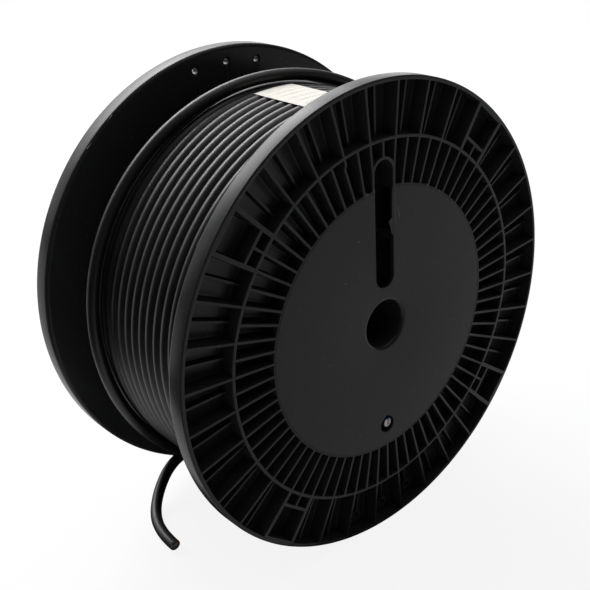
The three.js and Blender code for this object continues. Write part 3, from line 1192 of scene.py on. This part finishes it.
@dataclass
class Studio:
    """A white floor, soft light and the camera."""

    camera_at: Point = (-0.492707, -0.598903, 0.557859)
    right: Point = (0.716512, -0.697249, -0.021302)
    up: Point = (0.336236, 0.318447, 0.886305)
    back: Point = (-0.611192, -0.642211, 0.462612)
    focal_px: float = 956.60
    centre_px: Pair = (367.898, 332.346)
    frame_px: float = 590.0
    sensor: float = 36.0
    floor_half: float = 30.0
    floor_z: float = -0.0002
    floor_white: float = 0.88
    floor_grey: float = 0.9
    surround: float = 0.12

    def camera(self) -> None:
        """Places the camera."""
        data = bpy.data.cameras.new("camera")
        data.sensor_fit = "HORIZONTAL"
        data.sensor_width = self.sensor
        data.lens = self.focal_px / self.frame_px * self.sensor
        data.shift_x = -(self.centre_px[0] - self.frame_px / 2) / self.frame_px
        data.shift_y = (self.centre_px[1] - self.frame_px / 2) / self.frame_px
        data.clip_start, data.clip_end = 0.01, 100.0
        made = linked("camera", data)
        columns = Matrix((self.right, self.up, self.back)).transposed()
        made.matrix_world = Matrix.Translation(self.camera_at) @ columns.to_4x4()
        bpy.context.scene.camera = made

    def lamp(self, name: str, towards: Point, away: float, size: Pair, glow: float) -> None:
        """Places a soft rectangular lamp that faces the drum, with its long side level.

        Args:
            name: its name.
            towards: its direction from the drum.
            away: how far it stands from the drum.
            size: the lengths of its long and short sides.
            glow: how bright its face is, where 1 is white.
        """
        data = bpy.data.lights.new(name, "AREA")
        data.shape = "RECTANGLE"
        data.size, data.size_y = size
        data.energy = pi * size[0] * size[1] * glow
        made = linked(name, data)
        out = Vector(towards).normalized()
        level = Vector((1.0, 0.0, 0.0))
        across = (level - level.dot(out) * out).normalized()
        columns = Matrix((across, out.cross(across), out)).transposed()
        place = Vector((0, 0, AXLE_HEIGHT * MM)) + out * away
        made.matrix_world = Matrix.Translation(place) @ columns.to_4x4()

    def floor(self) -> None:
        """Lays a plain white floor that keeps the drum's shadow."""
        shape = bmesh.new()
        bmesh.ops.create_grid(shape, x_segments=1, y_segments=1, size=self.floor_half)
        made = linked("floor", mesh_of("floor", shape))
        made.location.z = self.floor_z
        material, graph = new_material("white_floor")
        kinds = ("Camera", "Glossy", "Transmission")
        rays = [graph.node("ShaderNodeLightPath", output=f"Is {kind} Ray") for kind in kinds]
        seen = rays[0].largest(rays[1]).largest(rays[2]) * self.floor_white
        lit = graph.node("ShaderNodeBsdfDiffuse", {"Color": grey(self.floor_grey)})
        white = graph.node("ShaderNodeEmission", {"Color": grey(1.0), "Strength": 1.0})
        mixed = graph.node("ShaderNodeMixShader", {0: seen, 1: lit, 2: white})
        graph.node("ShaderNodeOutputMaterial", {"Surface": mixed})
        made.data.materials.append(material)

    def cards(self) -> None:
        """Sets black cards round the drum that only its gloss sees: painted shade in its reflections, for
        a dark room's side at the left and for shaded floor at the left, the right and under the drum.
        """
        material, graph = new_material("black_card")
        graph.surface(Base_Color=grey(0.01), Roughness=0.9, Specular_IOR_Level=0.0)
        low, high = -0.0001, 0.42
        # Painted shade: flat black cards standing for shaded floor that the drum mirrors, at its left,
        # its right and under it.
        flat = {
            "left_floor_shade_card": (-0.72, -1.55, -0.40, 0.48),
            "right_floor_shade_card": (0.47, -0.17, 1.40, 1.20),
            "contact_shadow_card": (-0.20, -0.135, 0.30, 0.20),
        }
        left, near, _, far = flat["left_floor_shade_card"]
        # Painted shade: an upright black card standing for a dark room's side at the left.
        upright = ((left, near, low), (left, far, low), (left, far, high), (left, near, high))
        places = {"left_card": upright}
        for name, (x0, y0, x1, y1) in flat.items():
            places[name] = ((x0, y0, low), (x1, y0, low), (x1, y1, low), (x0, y1, low))
        for name, corners in places.items():
            shape = bmesh.new()
            shape.faces.new([shape.verts.new(at) for at in corners])
            made = linked(name, mesh_of(name, shape))
            made.data.materials.append(material)
            made.visible_camera = made.visible_diffuse = made.visible_shadow = False

    def world(self) -> None:
        """Gives a dim grey surround."""
        world = bpy.data.worlds.new("studio")
        bpy.context.scene.world = world
        world.use_nodes = True
        graph = Graph(world.node_tree)
        shader = graph.node("ShaderNodeBackground", {"Color": grey(self.surround), "Strength": 1.0})
        graph.node("ShaderNodeOutputWorld", {"Surface": shader})

    def build(self) -> None:
        """Sets up the whole studio."""
        self.camera()
        self.floor()
        self.cards()
        self.world()
        self.lamp("back_softbox", (0.04, 0.74, 0.68), 3.0, (2.0, 1.0), 7.0)
        self.lamp("back_wide_softbox", (0.08, 0.75, 0.66), 3.1, (3.5, 1.9), 3.0)
        self.lamp("back_panel", (0.12, 0.87, 0.46), 3.2, (6.4, 2.8), 1.4)
        self.lamp("top_panel", (0.30, -0.12, 1.0), 2.6, (2.4, 2.2), 1.0)
        bpy.context.scene.view_settings.view_transform = "Standard"


# ---- putting the drum together ----


def show(made: bpy.types.Object, slot: str, *nodes: str) -> None:
    """Fixes a piece to the drum and reports it.

    Args:
        made: the piece.
        slot: the name of a material slot; not used.
        nodes: the plain solids that it stands for.
    """
    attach(made, "root")
    if nodes:
        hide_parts(*nodes)
    log.info("%s is in place", made.name)


def main() -> None:
    """Builds the studio, the cable and the drum, in that order."""
    logging.basicConfig(level=logging.INFO, format="%(name)s: %(message)s")
    Studio().build()

    jacket = CableJacket("cable_jacket").material()
    colours = {
        "white_filler": (0.80, 0.79, 0.76, 1.0), "blue_core": (0.03, 0.16, 0.45, 1.0),
        "brown_core": (0.20, 0.07, 0.04, 1.0), "pinkish_core": (0.45, 0.22, 0.18, 1.0),
        "grey_core": (0.36, 0.44, 0.40, 1.0),
    }
    cores = {name: CoreColour(name, colour).material() for name, colour in colours.items()}
    cable = Cable()
    thick = cable.diameter / 2 * MM
    last = LooseTurn()
    route = FreeEnd().line(last.at(last.end))
    tail = tube("free_end", route, thick, jacket)
    show(tail, "cable_jacket", "cable_tail")
    end, before = Vector(route[-1]), Vector(route[-2])
    discs = (
        (0.0, 0.0, 4.7, 0.3, "white_filler"), (1.0, -0.6, 1.1, 0.9, "brown_core"),
        (0.3, 1.3, 1.0, 0.8, "grey_core"), (-1.1, -0.1, 1.1, 1.0, "blue_core"),
    )
    cut = CutEnd(discs).build("free_end_cores", route[-1], (end - before).normalized(), cores)
    show(cut, "cable_jacket")
    show(tube("loose_turn", last.line(), thick, jacket), "cable_jacket", "cable_last_turn")
    wound = piece("wound_cable", Winding(cable).build(), [jacket], DRUM_PLACE, sharp=60.0)
    show(wound, "cable_jacket", "cable_winding")
    squeezed, across, down = 4.59, 2.0, 97.0
    lead = [tuple(MM * (DRUM_PLACE @ Vector((across, y, -down)))) for y in (17.8, 1.9)]
    show(tube("lead_end", lead, squeezed * MM, jacket), "cable_jacket")
    discs = (
        (0.0, 0.0, 4.0, 0.1, "brown_core"), (3.0, -0.6, 1.5, 0.7, "white_filler"),
        (0.4, -0.9, 1.0, 0.6, "blue_core"), (-1.3, -0.4, 1.3, 0.5, "pinkish_core"),
    )
    show(CutEnd(discs).build("lead_end_cores", lead[1], Vector((0, -1, 0)), cores), "cable_jacket")

    near_plastic = MouldedPlastic("drum_plastic_near", worn=True).material()
    far_plastic = MouldedPlastic("drum_plastic").material()
    near = piece("near_flange", Flange(worn=True).build(), [near_plastic], DRUM_PLACE)
    show(near, "drum_plastic", "flange_front")
    turned_over = DRUM_PLACE @ Matrix.Translation((0, DRUM_WIDTH, 0)) @ Matrix.Rotation(pi, 4, "X")
    far = piece("far_flange", Flange(boss_radius=186.8).build(), [far_plastic], turned_over)
    show(far, "drum_plastic", "flange_back")
    barrel = piece("drum_barrel", Barrel().build(), [far_plastic], DRUM_PLACE)
    show(barrel, "drum_plastic", "barrel")
    paper = LabelPaper("label_paper").material()
    label = piece("coil_label_sheet", Label().build(), [paper], DRUM_PLACE, sharp=60.0)
    show(label, "label_paper", "coil_label")


if __name__ == "__main__":
    main()
